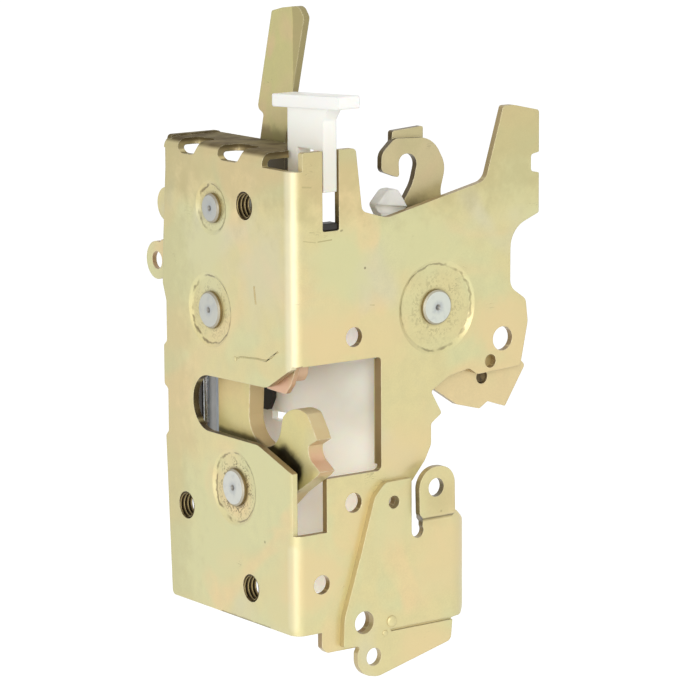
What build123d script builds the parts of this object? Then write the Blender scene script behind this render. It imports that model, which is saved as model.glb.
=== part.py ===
"""Rotary truck door lock: folded steel frame, fork and pawl latch, lock and release levers.

Millimetres, +Z up. Sizes are given from the frame's corner: the shut face's outer plane is x = 0,
the side wall's outer plane is y = 0, and z = 0 is the shut face's lowest edge. Every finished piece
is then set to the datum, the centre of the upper tapped hole on the shut face's outer plane.
"""
from build123d import *
import os
from math import atan2, cos, degrees, hypot, radians, sin

# Frame sheet
sheet = 2.0
bend_inside = 1.2
bend_outside = bend_inside + sheet
face_width = 63.8
frame_height = 134.8
flange_depth = 18.5
side_width = 86.3
side_drop = 6.1
corner_open_z = frame_height - 4.0
corner_open_y = 14.9
flange_lip = 0.5
dish_depth = 0.8
dish_slope = 1.4

# Pivots: y, z on the shut face and x, z on the side wall
fork_at = (30.4, 37.6)
pawl_at = (41.6, 87.3)
lock_at = (40.5, frame_height - 18.2)
lever_at = (side_width - 36.8, 88.5)
fork_dish = 9.6
pawl_dish = 9.4
lock_dish = 6.3
lever_dish = 12.1

# Tapped M8 holes on the shut face: y, z
screw_upper = (23.8, frame_height - 15.7)
screw_rear = (54.8, 28.1)
screw_lower = (22.3, 9.8)
screw_radius = 4.0
collar_radius = 5.2
collar_length = 2.2

# Striker mouth
mouth_end_y = 50.7
mouth_low_z = 51.9
mouth_high_z = 68.1
mouth_flare_y = 13.6
mouth_flare_high_z = 76.5
mouth_flare_low_z = 46.6
strip_edge_y = 1.9

# Side window
window_low_z = 43.9
window_x = 29.7
swing_low_z = 28.6
swing_x = 10.7
window_return = 1.4

# Slider slot in the side wall
slot_x = 9.9
slot_width = 5.6
slot_low_z = frame_height - 21.2
side_top_z = frame_height + 1.2

# Layers behind the shut face
lever_sheet = 1.5
latch_plate = 5.0
layer_gap = 0.2
cam_x = sheet + dish_depth + layer_gap
latch_x = cam_x + lever_sheet + layer_gap
latch_back_x = latch_x + latch_plate
back_plate_x = 15.0
back_plate_sheet = 2.0
lock_lever_x = flange_depth + 0.5
lock_lever_sheet = 2.0

# Pins and bushes
pin_radius = 6.5
pin_neck_radius = 5.3
pin_rivet_radius = 4.5
pin_head_radius = 7.0
pin_head = 1.6
pin_proud = 0.5
lock_pin_radius = 5.2
lock_neck_radius = 4.2
lever_neck_radius = 5.0
lever_head_radius = 9.0
running_gap = 0.05
press_gap = 0.02
bush_wall = 1.9
hub_wall = 1.75

# Fork
fork_reach = 38.9
fork_hub = 14.0
jaw_radius = 7.8
jaw_at = (21.5, 58.2)
prong_edge_y = 44.7
ledge_angle = 28.7
tip_start_angle = 86.7
tip_end_angle = 99.0
fork_closed = 44.0

# Pawl
pawl_hub = 10.0
sweep_gap = 0.6
pawl_drop = 3.8
catch_lag = 1.2
catch_depth = 1.2
nose_y = 9.0
tab_low_z = lock_at[1] - 16.0
tab_near_y = 4.2
tab_far_y = 9.6
tab_reach = 18.0
eye_radius = 5.6
eye_hole = 2.6

# Side levers
side_lever_sheet = 2.0
release_y = sheet + dish_depth + 0.3
hook_y = release_y + side_lever_sheet + 1.4
lever_hub = 12.0
arm_low_z = 86.2
arm_high_z = 91.0
arm_end_x = 12.0
side_head_y = 14.5

# Slider
slider_thickness = 4.4
slider_gap = 0.3
slider_front = -0.2
slider_depth = 17.1
slider_leg = 4.7
slider_neck_z = side_top_z
slider_bar_z = side_top_z + 11.4
slider_bar = 3.6

# Lower bracket
bracket_sheet = 2.0
ear_lift = 2.3
wing_roll = 8.0
wing_start = 53.0


def rounded(*points):
    """A closed outline; a third number on a point is its corner radius."""
    radii = [point[2] if len(point) > 2 else 0 for point in points]
    return make_face(FilletPolyline(*[point[:2] for point in points], radius=radii, close=True))


def sheet_x(face, start, end):
    """An outline in y, z made solid from x = start to x = end."""
    return extrude(Plane.YZ.offset(start) * face, end - start)


def sheet_y(face, start, end):
    """An outline in x, z made solid from y = start to y = end."""
    return extrude(Plane.XZ.offset(-end) * face, end - start)


def rod_x(at, radius, start, end):
    return sheet_x(Pos(*at) * Circle(radius), start, end)


def rod_y(at, radius, start, end):
    return sheet_y(Pos(*at) * Circle(radius), start, end)


def block(x0, x1, y0, y1, z0, z1):
    return Pos((x0 + x1) / 2, (y0 + y1) / 2, (z0 + z1) / 2) * Box(x1 - x0, y1 - y0, z1 - z0)


def polar(centre, radius, angle):
    """A point in y, z at an angle above the shut side, measured about a centre."""
    return (centre[0] - radius * cos(radians(angle)), centre[1] + radius * sin(radians(angle)))


def turned(point, centre, angle):
    """A point in y, z turned about a centre; positive lifts what lies on the shut side."""
    reach = hypot(point[0] - centre[0], point[1] - centre[1])
    start = degrees(atan2(point[1] - centre[1], centre[0] - point[0]))
    return polar(centre, reach, start + angle)


def dish(at, floor_radius, along):
    """The boss that a pressed dish raises inside the wall, and the hollow that it leaves outside."""
    out = Vector(1, 0, 0) if along == "x" else Vector(0, 1, 0)
    start = Vector(0, *at) if along == "x" else Vector(at[0], 0, at[1])
    low = (Align.CENTER, Align.CENTER, Align.MIN)
    rim = floor_radius + dish_slope
    boss = Plane(origin=start + out * sheet, z_dir=out) * Cone(rim + 0.4, floor_radius + 0.8, dish_depth, align=low)
    hollow = Plane(origin=start, z_dir=out) * Cone(rim, floor_radius, dish_depth, align=low)
    return boss, hollow


def centre_mark(at, along, start):
    """The small punched dot at the middle of a pin's end."""
    axis = Vector(1, 0, 0) if along == "x" else Vector(0, 1, 0)
    place = Vector(start, *at) if along == "x" else Vector(at[0], start, at[1])
    low = (Align.CENTER, Align.CENTER, Align.MIN)
    return Plane(origin=place, z_dir=axis) * Cone(0.9, 0.3, 0.5, align=low)


def make_frame():
    left = face_width
    face_outline = rounded(
        (bend_outside, 0), (left - 0.9, 0, 1.5), (left + 1.4, 47.2, 1), (left, 48.6, 1), (left, 61.2, 1),
        (left + 1.9, 62.3, 1), (left + 1.9, 73.8, 1), (left + 0.3, 75.2, 1), (left + 0.3, 87.0, 2),
        (left + 2.1, 92.0, 2), (left + 1.5, 92.0 + 0.29 * (frame_height - 92.0), 20), (left - 0.2, frame_height - 8.8),
        (left - 0.2, frame_height - bend_outside),
        (corner_open_y, frame_height - bend_outside), (corner_open_y, corner_open_z, 0.6),
        (bend_outside, corner_open_z))
    face = sheet_x(face_outline, 0, sheet)
    rear = side_width
    high = frame_height
    knee = 68.4
    side_outline = rounded(
        (bend_outside, 0), (8.7, 0), (8.7, 1.7 - side_drop, 1), (10.4, -side_drop, 1.6), (34, -side_drop, 3), (36, 20, 8),
        (37.5, 36, 3), (45.1, 44.9, 6), (47.3, 49.2, 3), (47.3, 55.2, 1), (51.1, 57.8, 0.8), (47.3, 64.5, 0.8),
        (rear - 32.6, 68.2, 3), (rear - 25.3, 69.6, 2), (rear - 22.3, 67.5, 2), (rear - 6.6, knee, 1),
        (rear - 3.9, knee + 0.19 * (high - knee), 6), (rear - 4.7, knee + 0.289 * (high - knee), 2.5),
        (rear - 10.4, knee + 0.349 * (high - knee), 4), (rear - 10.3, high - 26.5, 8),
        (rear, high - 22.5, 0.8), (rear, high - 10.9, 0.5), (rear - 2.9, high - 10.4, 1), (rear - 2.9, high - 5.5, 1),
        (rear, high - 5.0, 0.5), (rear, high + 7.1, 1), (rear - 9.3, high + 9.2, 6), (rear - 13.0, high + 9.2, 1),
        (rear - 19.4, high - 11.6, 4), (32.0, high - 19.2, 6), (23.4, high - 16.6, 2), (21.3, side_top_z, 1.4),
        (slot_x + slot_width, side_top_z),
        (slot_x + slot_width, slot_low_z, 0.6), (slot_x, slot_low_z, 0.6), (slot_x, side_top_z),
        (bend_outside, side_top_z, 0.8))
    side = sheet_y(side_outline, 0, sheet)
    ring = Circle(bend_outside) - Circle(bend_inside)
    corner_quarter = (Pos(bend_outside, bend_outside) * ring) & (Pos(bend_outside / 2, bend_outside / 2)
                                                                * Rectangle(bend_outside, bend_outside))
    corner = extrude(corner_quarter, corner_open_z)
    flange_low = frame_height - sheet
    top_centre = frame_height - bend_outside
    top_quarter = (Pos(bend_outside, top_centre) * ring) & (Pos(bend_outside / 2, top_centre + bend_outside / 2)
                                                            * Rectangle(bend_outside, bend_outside))
    flange_end = left + 0.4
    top_bend = sheet_y(top_quarter, corner_open_y, flange_end)
    flange = block(bend_outside, flange_depth, corner_open_y, flange_end, flange_low, frame_height)
    lip = block(bend_inside, flange_depth, flange_end - sheet, flange_end, flange_low, frame_height + flange_lip)
    lip = fillet(lip.edges().filter_by(Axis.Y).sort_by(Axis.Z)[-2:], 1.2)
    body = face + side + corner + top_bend + flange + lip

    # Tapped holes with plunged collars
    for at in (screw_upper, screw_rear, screw_lower):
        body += rod_x(at, collar_radius, sheet, sheet + collar_length)
    for at in (screw_upper, screw_rear, screw_lower):
        body -= rod_x(at, screw_radius, -1, sheet + collar_length + 1)

    # Dished pin seats
    seats = ((fork_at, fork_dish, "x", pin_neck_radius), (pawl_at, pawl_dish, "x", pin_neck_radius),
             (lock_at, lock_dish, "x", lock_neck_radius), (lever_at, lever_dish, "y", lever_neck_radius))
    for at, floor, along, neck in seats:
        boss, hollow = dish(at, floor, along)
        body = body + boss - hollow
        bore = rod_x if along == "x" else rod_y
        body -= bore(at, neck + press_gap, -1, sheet + dish_depth + 1)

    # Striker mouth, flared towards the side wall
    mouth_mid = (mouth_low_z + mouth_high_z) / 2
    round_end = (mouth_high_z - mouth_low_z) / 2 - 0.2
    mouth = rounded(
        (-1, mouth_flare_high_z + 0.9), (mouth_flare_y, mouth_high_z + 0.9, 6), (mouth_end_y, mouth_high_z - 0.2, round_end),
        (mouth_end_y, mouth_low_z, round_end), (18.3, mouth_low_z, 6), (strip_edge_y + 0.6, mouth_flare_low_z, 2),
        (-1, mouth_flare_low_z - 2))
    body -= sheet_x(mouth, -1, sheet + 1)

    # The fold is open from the swing clearance up to the mouth's flare
    body -= block(-1, swing_x, -1, strip_edge_y, swing_low_z, mouth_flare_high_z)
    body -= block(sheet, swing_x, strip_edge_y - 0.5, bend_outside + 0.1, swing_low_z, mouth_flare_high_z)
    window = rounded((sheet, window_low_z), (window_x, window_low_z, 1.6), (window_x, mouth_flare_high_z, 1.2),
                     (sheet, mouth_flare_high_z))
    body -= sheet_y(window, -1, bend_outside + 1)
    body += block(window_x, window_x + sheet, sheet, sheet + window_return, window_low_z + 1.5, mouth_flare_high_z - 1)

    # Windows across the top fold
    for low_y, high_y in ((25.6, 37.2), (47.6, 57.4)):
        opening = block(-1, 8.0, low_y, high_y, corner_open_z, frame_height + 1)
        opening = fillet(opening.edges().filter_by(Axis.Z).sort_by(Axis.X)[-2:], 3)
        body -= fillet(opening.edges().filter_by(Axis.X).sort_by(Axis.Z)[:2], 3)

    # Notch for the slider's inner leg
    body -= block(slot_x - 0.7, flange_depth + 1, corner_open_y - 1, slider_front + slider_depth + 0.8,
                  corner_open_z + 1.4, frame_height + 1)

    # Plain holes in the side wall: x, z, radius
    for x, z, radius in ((20.4, 83.1, 2.8), (rear - 13.2, 76.9, 3.5), (rear - 17.6, 70.8, 1.95), (19.9, 35.9, 2.85), (8.8, 13.9, 2.75),
                         (32.6, 34.7, 1.85), (22.0, 1.3, 3.3)):
        body -= rod_y((x, z), radius, -1, sheet + 1)
    return body


def make_back_plate():
    """Plate that carries the inner ends of the fork and pawl pins."""
    plate = rounded(
        (25.4, 24, 2), (46, 22, 6), (60, 34, 5), (60, 48, 2), (54, 50, 3), (50, 46.4, 3), (29, 45.6, 4), (24.4, 41, 3),
        (24.4, 27, 1))
    upper = rounded((24, 71, 3), (53, 71, 3), (60, 66, 4), (60, 92, 6), (52, 101, 5), (34, 101, 5), (24, 88, 4))
    spine = rounded((52.5, 40), (62.4, 40, 1), (62.4, 80, 1), (52.5, 80))
    back_end = back_plate_x + back_plate_sheet
    body = sheet_x(plate, back_plate_x, back_end) + sheet_x(upper, back_plate_x, back_end)
    body += sheet_x(spine, back_plate_x, back_end)
    foot_low = 20.0
    body += block(back_plate_x, back_end, 32, 44, foot_low, 26)
    body += block(sheet, back_end, 32, 44, foot_low - back_plate_sheet, foot_low)
    for at in (fork_at, pawl_at):
        body -= rod_x(at, pin_rivet_radius + press_gap, back_plate_x - 1, back_end + 1)
    for at in cover_pegs():
        body -= rod_x(at, peg_radius + press_gap, back_plate_x - 1, back_end + 1)
    return body


peg_radius = 2.2


def cover_pegs():
    """Where the guard is pegged through the back plate: y, z."""
    return ((37.0, 25.4), (56.5, 76.0))


def make_pin(at, radius, neck, shoulder_end, rivet, rivet_end, head):
    """Shouldered pin along x, staked in the shut face and headed behind."""
    seat = sheet + dish_depth
    pin = rod_x(at, neck, -pin_proud, seat) + rod_x(at, radius, seat, shoulder_end)
    if rivet:
        pin += rod_x(at, rivet, shoulder_end, rivet_end)
    pin += rod_x(at, head, rivet_end, rivet_end + pin_head)
    pin = chamfer(pin.edges().filter_by(GeomType.CIRCLE).sort_by(Axis.X)[0], 0.5)
    pin = chamfer(pin.edges().filter_by(GeomType.CIRCLE).sort_by(Axis.X)[-1], 0.5)
    return pin - centre_mark(at, "x", -pin_proud)


def make_lever_pivot():
    seat = sheet + dish_depth
    pin = rod_y(lever_at, lever_neck_radius, -pin_proud, seat) + rod_y(lever_at, pin_radius, seat, side_head_y)
    pin += rod_y(lever_at, lever_head_radius, side_head_y, side_head_y + pin_head)
    pin = chamfer(pin.edges().filter_by(GeomType.CIRCLE).sort_by(Axis.Y)[0], 0.5)
    pin = chamfer(pin.edges().filter_by(GeomType.CIRCLE).sort_by(Axis.Y)[-1], 0.5)
    return pin - centre_mark(lever_at, "y", -pin_proud)


def make_fork():
    centre = fork_at
    jaw_y, jaw_z = jaw_at
    ledge_outer = polar(centre, fork_reach, ledge_angle)
    ledge_inner = (0.2, 54.1)
    crown_mid = polar(centre, fork_reach, ledge_angle + 6)
    crown_end = polar(centre, fork_reach, ledge_angle + 12)
    tip_start = polar(centre, fork_reach, tip_start_angle)
    tip_mid = polar(centre, fork_reach, (tip_start_angle + tip_end_angle) / 2)
    tip_end = polar(centre, fork_reach, tip_end_angle)
    jaw_left = (jaw_y + jaw_radius, jaw_z)
    jaw_right = (jaw_y - jaw_radius, jaw_z - 2.2)
    jaw_low = (jaw_y, jaw_z - jaw_radius)
    heel = (-5.2, 47.5)
    toe = (-3.7, 46.1)
    edges = [
        Line(ledge_outer, ledge_inner),
        ThreePointArc(ledge_inner, (0.1, 51.6), (-1.4, 49.8)),
        Line((-1.4, 49.8), heel),
        Line(heel, toe),
        Line(toe, (7.3, 39.2)),
        Line((7.3, 39.2), (centre[0] - fork_hub * 0.8, centre[1] - fork_hub * 0.6)),
        ThreePointArc((centre[0] - fork_hub * 0.8, centre[1] - fork_hub * 0.6), (centre[0], centre[1] - fork_hub),
                      (centre[0] + fork_hub, centre[1])),
        Line((centre[0] + fork_hub, centre[1]), (prong_edge_y, 51.0)),
        Line((prong_edge_y, 51.0), (prong_edge_y, 67.0)),
        Line((prong_edge_y, 67.0), tip_end),
        ThreePointArc(tip_end, tip_mid, tip_start),
        Line(tip_start, jaw_left),
        ThreePointArc(jaw_left, jaw_low, jaw_right),
        Line(jaw_right, (12.5, 60.3)),
        ThreePointArc((12.5, 60.3), (7.9, 63.2), crown_end),
        ThreePointArc(crown_end, crown_mid, ledge_outer),
    ]
    body = sheet_x(make_face(edges), latch_x, latch_back_x)
    body -= rod_x(centre, pin_radius + running_gap + bush_wall + press_gap, latch_x - 1, latch_back_x + 1)
    return body


def make_bush(at, inner, wall, start, end):
    bore = inner + running_gap
    return rod_x(at, bore + wall, start, end) - rod_x(at, bore, start - 1, end + 1)


def make_pawl():
    sweep = fork_reach + sweep_gap
    catch_angle = ledge_angle + fork_closed - catch_lag
    corner = turned(polar(fork_at, fork_reach - catch_depth, catch_angle), pawl_at, pawl_drop)
    root = turned(polar(fork_at, fork_reach + 2.6, catch_angle), pawl_at, pawl_drop)
    nose_z = fork_at[1] + (sweep ** 2 - (fork_at[0] - nose_y) ** 2) ** 0.5
    middle_y = (nose_y + corner[0]) / 2
    middle = (middle_y, fork_at[1] + (sweep ** 2 - (fork_at[0] - middle_y) ** 2) ** 0.5)
    centre_y, centre_z = pawl_at
    under = (centre_y - 5, centre_z - pawl_hub * 0.87)
    over = (centre_y - 4, centre_z + pawl_hub * 0.92)
    edges = [
        ThreePointArc((nose_y, nose_z), middle, corner),
        Line(corner, root),
        Line(root, under),
        ThreePointArc(under, (centre_y + pawl_hub, centre_z), over),
        Line(over, (13.5, 88.5)),
        ThreePointArc((13.5, 88.5), (8.8, 85.4), (6.9, 80.5)),
        Line((6.9, 80.5), (6.9, nose_z + 4.0)),
        ThreePointArc((6.9, nose_z + 4.0), (7.6, nose_z + 1.5), (nose_y, nose_z)),
    ]
    body = sheet_x(make_face(edges), latch_x, latch_back_x)
    body -= rod_x(pawl_at, pin_radius + running_gap + bush_wall + press_gap, latch_x - 1, latch_back_x + 1)
    return body


def make_pawl_lever():
    """Thin lever fixed to the pawl: rod eye on one side, lifting tab on the other."""
    centre_y, centre_z = pawl_at
    eye = (73.3, 97.4)
    arm = rounded((centre_y + 2, centre_z + 10.5, 4), (tab_far_y + 6, tab_low_z + 1.0, 4), (tab_far_y, tab_low_z + lever_sheet),
                  (tab_near_y, tab_low_z + lever_sheet, 0.6), (tab_near_y, tab_low_z - 4, 2),
                  (tab_far_y + 4, tab_low_z - 6.1, 4), (centre_y - 8, centre_z - 5, 2), (centre_y + 4, centre_z - 9, 2))
    tail = rounded((centre_y - 2, centre_z + 10, 1), (centre_y + 6, centre_z - 9, 2), (eye[0] - 5, eye[1] - 5.0, 3),
                   (eye[0], eye[1] - 5.0), (eye[0], eye[1] + 4.0), (eye[0] - 2.6, eye[1] + 6.5, 0.8),
                   (eye[0] - 8, eye[1] + 4.6, 3))
    guide = rounded((centre_y - 4, centre_z - 8, 1), (26, 72.4, 8), (17.4, 67.9, 1), (8.6, 67.6, 1.6), (6.0, 70.6, 1.5),
                    (3.6, 75.8, 4), (4.6, 83.4, 4), (18, 90, 4), (centre_y - 4, centre_z + 8, 1))
    flat = arm + tail + guide + Pos(*eye) * Circle(eye_radius) + Pos(*pawl_at) * Circle(pawl_hub + 1)
    flat = flat - Pos(*eye) * Circle(eye_hole) - Pos(*pawl_at) * Circle(pin_radius + running_gap + bush_wall + press_gap)
    body = sheet_x(flat, cam_x, cam_x + lever_sheet)
    tab = block(cam_x, tab_reach, tab_near_y, tab_far_y, tab_low_z, tab_low_z + lever_sheet)
    tab = fillet(tab.edges().filter_by(Axis.Z).sort_by(Axis.X)[-2:], 1.5)
    return body + tab


lock_tab_at = (14.8, lock_at[1] - 5.7)
lock_tab = 2.0
lock_tab_width = 3.5


def make_lock_cam():
    """Thin lever of the lock: its tab runs in the slider's eye."""
    centre_y, centre_z = lock_at
    lug = (70.3, centre_z - 2.6)
    arm = rounded((centre_y - 4, centre_z - 3.0, 1), (centre_y - 12, centre_z - 3.6, 4), (12.6, centre_z - 3.6, 2),
                  (12.6, centre_z - 8.2, 2), (centre_y - 10, centre_z - 9.0, 4), (centre_y, centre_z - 10, 1))
    tail = rounded((centre_y, centre_z + 10, 1), (centre_y, centre_z - 10, 1), (lug[0], lug[1] - 5),
                   (lug[0], lug[1] + 5), (lug[0] - 10, lug[1] + 5.4, 5))
    hub_hole = lock_pin_radius + running_gap + hub_wall + press_gap
    flat = arm + tail + Pos(*lug) * Circle(5) + Pos(*lock_at) * Circle(10.4)
    flat = flat - Pos(*lock_at) * Circle(hub_hole)
    body = sheet_x(flat, latch_x, latch_x + lever_sheet)
    tab_y, tab_z = lock_tab_at
    body += block(latch_x, slot_x + slot_width, tab_y - lock_tab_width / 2, tab_y + lock_tab_width / 2,
                  tab_z - lock_tab / 2, tab_z + lock_tab / 2)
    return body


def make_lock_lever():
    """Tall lock arm: a flat blade whose shut-side edge is folded back."""
    centre_y, centre_z = lock_at
    fold_y = 26.8
    outline = rounded(
        (centre_y + 9.4, centre_z + 3, 2), (43.2, centre_z + 17.4, 8), (41.2, centre_z + 25.4, 1),
        (44.2, centre_z + 26.8, 1.5), (36.7, centre_z + 55.0, 1.0), (31.6, centre_z + 56.2, 6), (24.6, centre_z + 57.1, 2),
        (22.9, centre_z + 53.9, 2), (25.9, centre_z + 37.8, 30), (27.6, centre_z + 28.4, 20), (31.0, centre_z + 17.9, 12),
        (centre_y - 9.4, centre_z + 3, 2),
        (centre_y - 6, centre_z - 8, 5), (centre_y + 6, centre_z - 8, 5))
    outline = outline + Pos(*lock_at) * Circle(10.4)
    start = lock_lever_x
    end = lock_lever_x + lock_lever_sheet
    run = 14.0
    set_back = 4.9
    section = rounded((start, 60), (start, fold_y, 3), (start + set_back, fold_y - run), (end + set_back, fold_y - run),
                      (end, fold_y, 1), (end, 60))
    low = centre_z - 12
    blade = Pos(0, 0, low) * extrude(section, 96)
    body = blade & sheet_x(outline, start - 1, end + set_back + 1)
    body -= rod_x(lock_at, lock_pin_radius + running_gap + hub_wall + press_gap, start - 1, end + 2)
    return body


def make_slider():
    """Moulded T: neck plate in the side wall's slot, one leg outside in the slot, one leg inside."""
    x0 = slot_x + slider_gap
    x1 = x0 + slider_thickness
    y0 = slider_front
    y1 = y0 + slider_depth
    body = block(x0, x1, y0, y1, slider_neck_z, slider_bar_z + 1)
    middle = (x0 + x1) / 2
    bar_half = 3.6
    bar = sheet_x(rounded((-9.3, slider_bar_z + 0.8, 0.7), (-9.3, slider_bar_z + 0.8 + slider_bar, 0.7),
                          (22.3, slider_bar_z + slider_bar - 0.9, 0.7), (22.3, slider_bar_z - 0.9, 0.7)),
                  middle - bar_half, middle + bar_half)
    web = sheet_x(rounded((y0, slider_bar_z - 3), (y0 - 3, slider_bar_z + 1.2), (y0 + 1, slider_bar_z + 1.2)), x0, x1)
    front_low = slider_neck_z - 11.5
    front = block(x0, x1, y0, y0 + slider_leg, front_low, slider_neck_z)
    keeper = block(slot_x - 1.6, slot_x + slot_width + 1.2, sheet + slider_gap, sheet + slider_gap + 2.2, front_low,
                   slider_neck_z - 1.4)
    tab_y, tab_z = lock_tab_at
    eye_low = tab_z - lock_tab / 2 - 3.2
    rear = block(x0, x1, y1 - slider_leg, y1, tab_z, slider_neck_z)
    eye_top = tab_z + 4.4
    eye = sheet_x(rounded((10.6, eye_low, 1.5), (23.0, eye_low, 1.5), (23.0, eye_top, 1.5), (10.6, eye_top, 1.5)), x0, x1)
    travel = sheet_x(rounded((12.4, tab_z - 1.9, 0.6), (20.9, tab_z - 1.9, 0.6), (20.9, tab_z + 1.9, 0.6),
                             (12.4, tab_z + 1.9, 0.6)), x0 - 1, x1 + 1)
    return body + bar + web + front + keeper + rear + eye - travel


def make_release_lever():
    """Lever of the outside handle, half hidden behind the side wall."""
    x, z = lever_at
    outline = rounded(
        (x - 5.5, 80, 3), (x + 0.7, 64.6, 0.8), (x + 9.4, 58.8, 1), (x + 17.6, 56.6, 0.8), (x + 20.6, 58.4, 0.8),
        (x + 27.0, 56.2, 0.6), (x + 34.3, 67.5, 1), (x + 29.9, 72.2, 1), (x + 19.5, 72.2, 4), (x + 11.0, 84, 3))
    arm = rounded((x, arm_low_z), (x, arm_high_z + 2), (x - 14, arm_high_z, 3), (arm_end_x, arm_high_z, 2),
                  (arm_end_x, arm_low_z, 2))
    flat = outline + arm + Pos(*lever_at) * Circle(lever_hub)
    flat = flat - Pos(x + 18.5, 65.8) * Circle(2.0) - Pos(*lever_at) * Circle(pin_radius + running_gap)
    return sheet_y(flat, release_y, release_y + side_lever_sheet)


clip_at = (lever_at[0] - 13.5, frame_height - 25.6)
clip_hole = 2.6


def make_hook_lever():
    """Lever of the inside handle, with an open hook above and an ear for the rod clip."""
    x, z = lever_at
    top = frame_height
    hook = rounded(
        (x + 10, z + 6, 6), (x + 7.7, top - 19.8, 8), (x + 6.0, top - 14.5, 6), (x + 8.1, top - 7.0, 7),
        (x + 3.4, top + 1.2, 8), (x - 10.0, top + 1.8, 3.5), (x - 14.5, top - 2.2, 3.6), (x - 14.6, top - 7.2, 1.8),
        (x - 8.3, top - 9.5, 0.8), (x - 8.7, top - 2.8, 2.6), (x - 1.3, top - 2.8, 3.2), (x - 3.5, top - 11.2, 10),
        (x - 8.3, top - 18.4, 6), (x - 10, z + 10, 6))
    ear = rounded((x - 2, z + 6), (x - 2, z + 28), (clip_at[0], clip_at[1] + 5.8), (clip_at[0] - 4.6, clip_at[1] - 3.6),
                  (x - 9, z + 8, 3))
    arm = rounded((x, arm_low_z), (x, arm_high_z + 2), (x - 14, arm_high_z, 3), (arm_end_x, arm_high_z, 2),
                  (arm_end_x, arm_low_z, 2))
    flat = hook + ear + arm + Pos(*lever_at) * Circle(lever_hub - 0.5) + Pos(*clip_at) * Circle(5.8)
    flat = flat - Pos(*clip_at) * Circle(clip_hole) - Pos(*lever_at) * Circle(pin_radius + running_gap)
    body = sheet_y(flat, hook_y, hook_y + side_lever_sheet)
    tab = rounded((x - 10.1, top - 1.2), (x - 9.9, top + 3.8, 0.8), (x + 0.9, top + 4.5, 0.6), (x + 0.9, top - 1.2))
    return body + sheet_y(tab, hook_y + 1.2, hook_y + side_lever_sheet + 1.2)


def make_rod_clip():
    """Nylon rod clip: snap stem through the lever's ear, jaw above."""
    x, z = clip_at
    start = sheet + 0.5
    end = hook_y - 0.15
    jaw = rounded((x - 3.6, z - 3.6, 2), (x + 3.4, z - 3.6, 2), (x + 5.2, z + 8.0, 1.5), (x + 1.6, z + 13.9, 2.5),
                  (x - 1.9, z + 13.8, 2.5), (x - 5.7, z + 9.8, 1.2), (x - 4.0, z + 6.6, 1.5))
    body = sheet_y(jaw, start, end)
    groove = Plane(origin=(x, start, z + 8.0), z_dir=(1, 0, -0.14)) * Cylinder(1.2, 30)
    body -= groove
    stem_end = hook_y + side_lever_sheet + 0.2
    body += rod_y(clip_at, clip_hole - running_gap, end, stem_end)
    body += rod_y(clip_at, clip_hole + 0.8, stem_end, stem_end + 1.4)
    return body


def make_bracket():
    """Bracket fixed flat outside the side wall: raised ear, rolled wing and low lug."""
    front = -bracket_sheet
    flat = Pos((10 + wing_start) / 2, front / 2) * Rectangle(wing_start - 10, bracket_sheet)
    ring = Circle(wing_roll) - Circle(wing_roll - bracket_sheet)
    roll = (Pos(wing_start, wing_roll - bracket_sheet) * ring) & (
        Pos(wing_start + wing_roll / 2, wing_roll / 2 - bracket_sheet) * Rectangle(wing_roll, wing_roll))
    strip = Pos(0, 0, -20) * extrude(flat + roll, 70)
    outline = rounded(
        (14.8, -5.0, 0.8), (15.2, 3.4, 8), (21.5, 22.5, 60), (25.9, 37.0, 5), (29.6, 40.7, 3), (38.8, 40.9, 0.4),
        (38.8, 23.4, 1.9), (42.7, 23.4, 1.9), (42.7, 28.4), (54.6, 29.6, 1.5), (59.4, 25.4, 4), (60.4, 14.0, 20),
        (60.4, 2.0, 4), (57.0, -1.7, 1), (53.4, -2.3, 0.6), (52.8, -8.6, 2), (26.6, -15.2, 6), (19.6, -13.6, 5.5),
        (19.6, -7.4, 1.2), (20.6, -5.4, 0.6))
    body = strip & sheet_y(outline, front - 1, wing_roll + 1)
    slit = rounded((31.2, -1.9), (31.4, -2.7), (70.0, -2.6), (70.0, -1.8))
    body -= sheet_y(slit, front - 1, front + 0.8)
    ear = rounded((44.0, 25.4), (42.5, 27.8, 0.8), (40.0, 30.4, 1.2), (39.7, 43.9, 6.2), (52.4, 43.4, 5.4), (52.6, 28.8, 1),
                  (53.2, 25.4))
    fold = rounded((0, 26.6), (front, 26.6), (front, 27.6, 1.2), (front - ear_lift, 29.4, 1.2), (front - ear_lift, 50),
                   (-ear_lift, 50), (-ear_lift, 30.2, 1.2), (0, 28.4, 1.2))
    raised = Pos(36, 0, 0) * extrude(Plane.YZ * fold, 20)
    clear = Plane(origin=(41.0, 0, 25.2), z_dir=(0, 1, 0)) * Cylinder(2.0, 20)
    body = body + (raised & sheet_y(ear, front - ear_lift - 1, 1)) - clear
    for x, z, radius in ((32.6, 34.7, 1.85), (22.0, 1.3, 3.3), (25.3, -9.2, 2.6)):
        body -= rod_y((x, z), radius, front - 1, 1)
    return body - rod_y((45.8, 37.6), 2.7, front - ear_lift - 1, 1)


def make_inner_cover():
    """Moulded guard behind the latch: back wall, then a slanted wall towards the side window."""
    start = back_plate_x + back_plate_sheet
    wall = 2.0
    low, high = 5.0, 84.0
    section = rounded((start, 63), (start, 30, 12), (38.6, sheet + 0.05), (41.2, sheet + 0.05), (start + wall, 31.0, 14),
                      (start + wall, 63))
    body = Pos(0, 0, low) * extrude(section, high - low)
    body += block(start - 5, start + 0.5, 61, 61 + wall, low, 38)
    body -= rod_y(lever_at, lever_dish + 3.0, 0, 30)
    for at in (fork_at, pawl_at):
        body -= rod_x(at, pin_head_radius + 0.3, start - 1, start + wall)
    body -= block(start - 1, start + wall + 3, 29.6, 35.4, 54.6, 57.2)
    for at in cover_pegs():
        body += rod_x(at, peg_radius, back_plate_x - 0.6, start + 0.5)
    return body


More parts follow.
